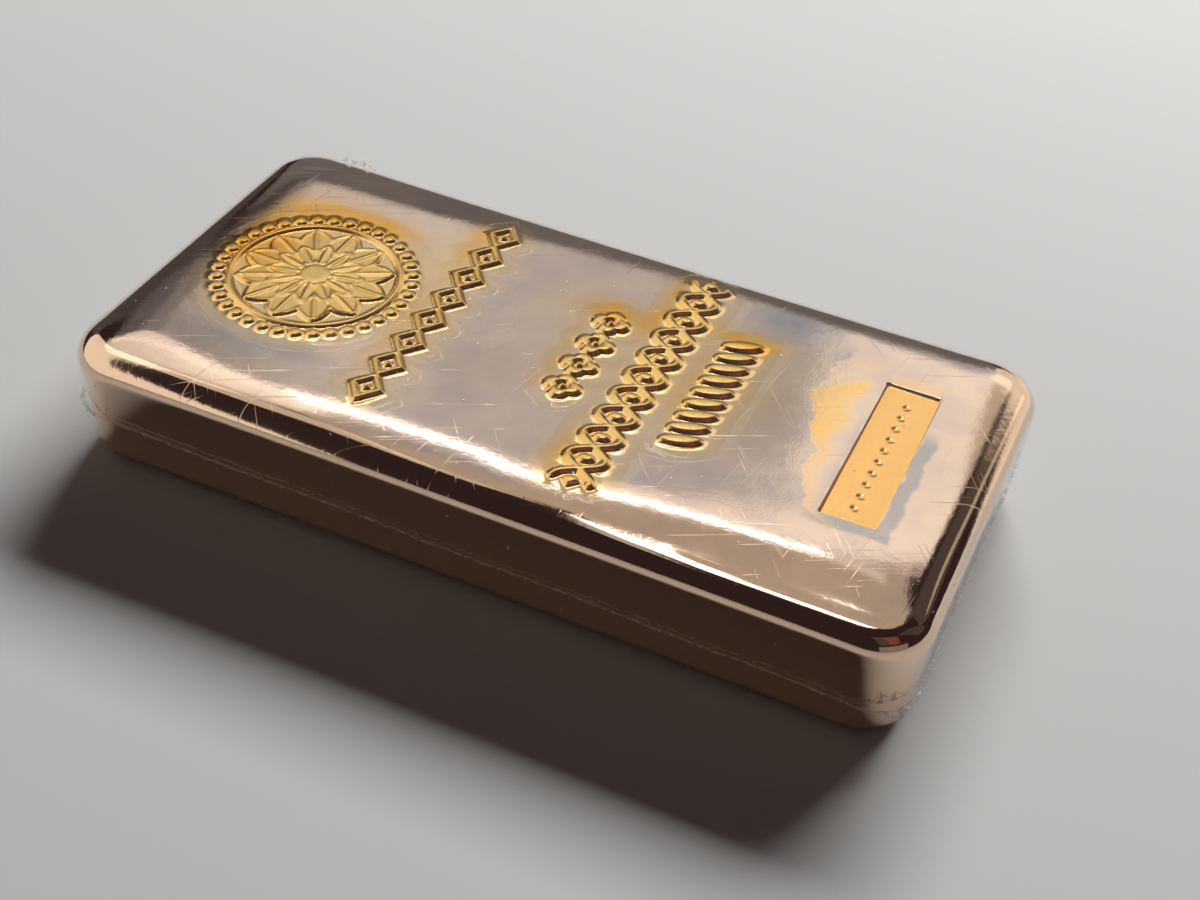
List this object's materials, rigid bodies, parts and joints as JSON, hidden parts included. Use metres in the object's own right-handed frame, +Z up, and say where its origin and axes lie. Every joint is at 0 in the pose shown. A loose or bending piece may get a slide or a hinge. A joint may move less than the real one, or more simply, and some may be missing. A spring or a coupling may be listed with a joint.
{
  "type": "copper ingot",
  "caption": "Cast copper bar with rolled edges, raised ornament bands, a rosette and a sunk bare panel, sealed in clear shrink film.",
  "frame": {"origin": "bottom centre of the wrapped bar, on the surface that it lies on", "axes": "+X along the length, from the rosette to the sunk panel; +Y across the width, the way the ornament bands run; +Z up, out of the ornamented face"},
  "size_m": [0.116, 0.0588, 0.0191],
  "materials": {
    "copper": "polished fine copper, tarnished golden round the raised work",
    "film": "clear glossy shrink film"
  },
  "bodies": {
    "root": {"ingot": "copper", "shrink_film": "film"}
  },
  "joints": []
}
